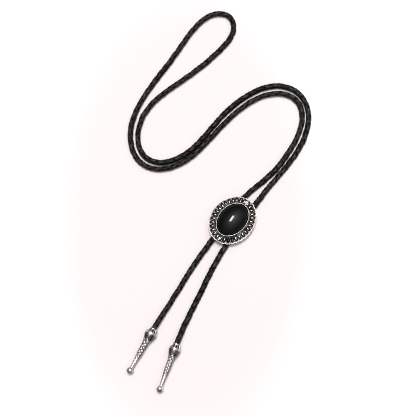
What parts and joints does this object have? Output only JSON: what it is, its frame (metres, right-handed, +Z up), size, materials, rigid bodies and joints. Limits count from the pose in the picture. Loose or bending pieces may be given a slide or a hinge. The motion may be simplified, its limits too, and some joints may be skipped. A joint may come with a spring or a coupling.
{
  "type": "bolo tie",
  "caption": "Bolo tie laid out flat: a round braided cord through an oval silver slide with a domed black stone, and a cast tip on each end.",
  "frame": {"origin": "on the surface under the middle of the slide", "axes": "+Z up, out of the stone; +Y along the slide's long way, towards the neck loop; +X to the right of the slide seen from above"},
  "size_m": [0.1659, 0.2396, 0.0124],
  "materials": {
    "silver": "antiqued silver, dark in its recesses and polished on its high parts",
    "onyx": "polished black onyx",
    "nickel": "plain nickel plate",
    "leather": "round braid of thin black leather strands, a little shiny"
  },
  "bodies": {
    "root": {"concho": "silver", "stone": "onyx", "back_clip": "nickel", "tip_left": "silver", "tip_right": "silver", "cord": "leather"}
  },
  "joints": []
}
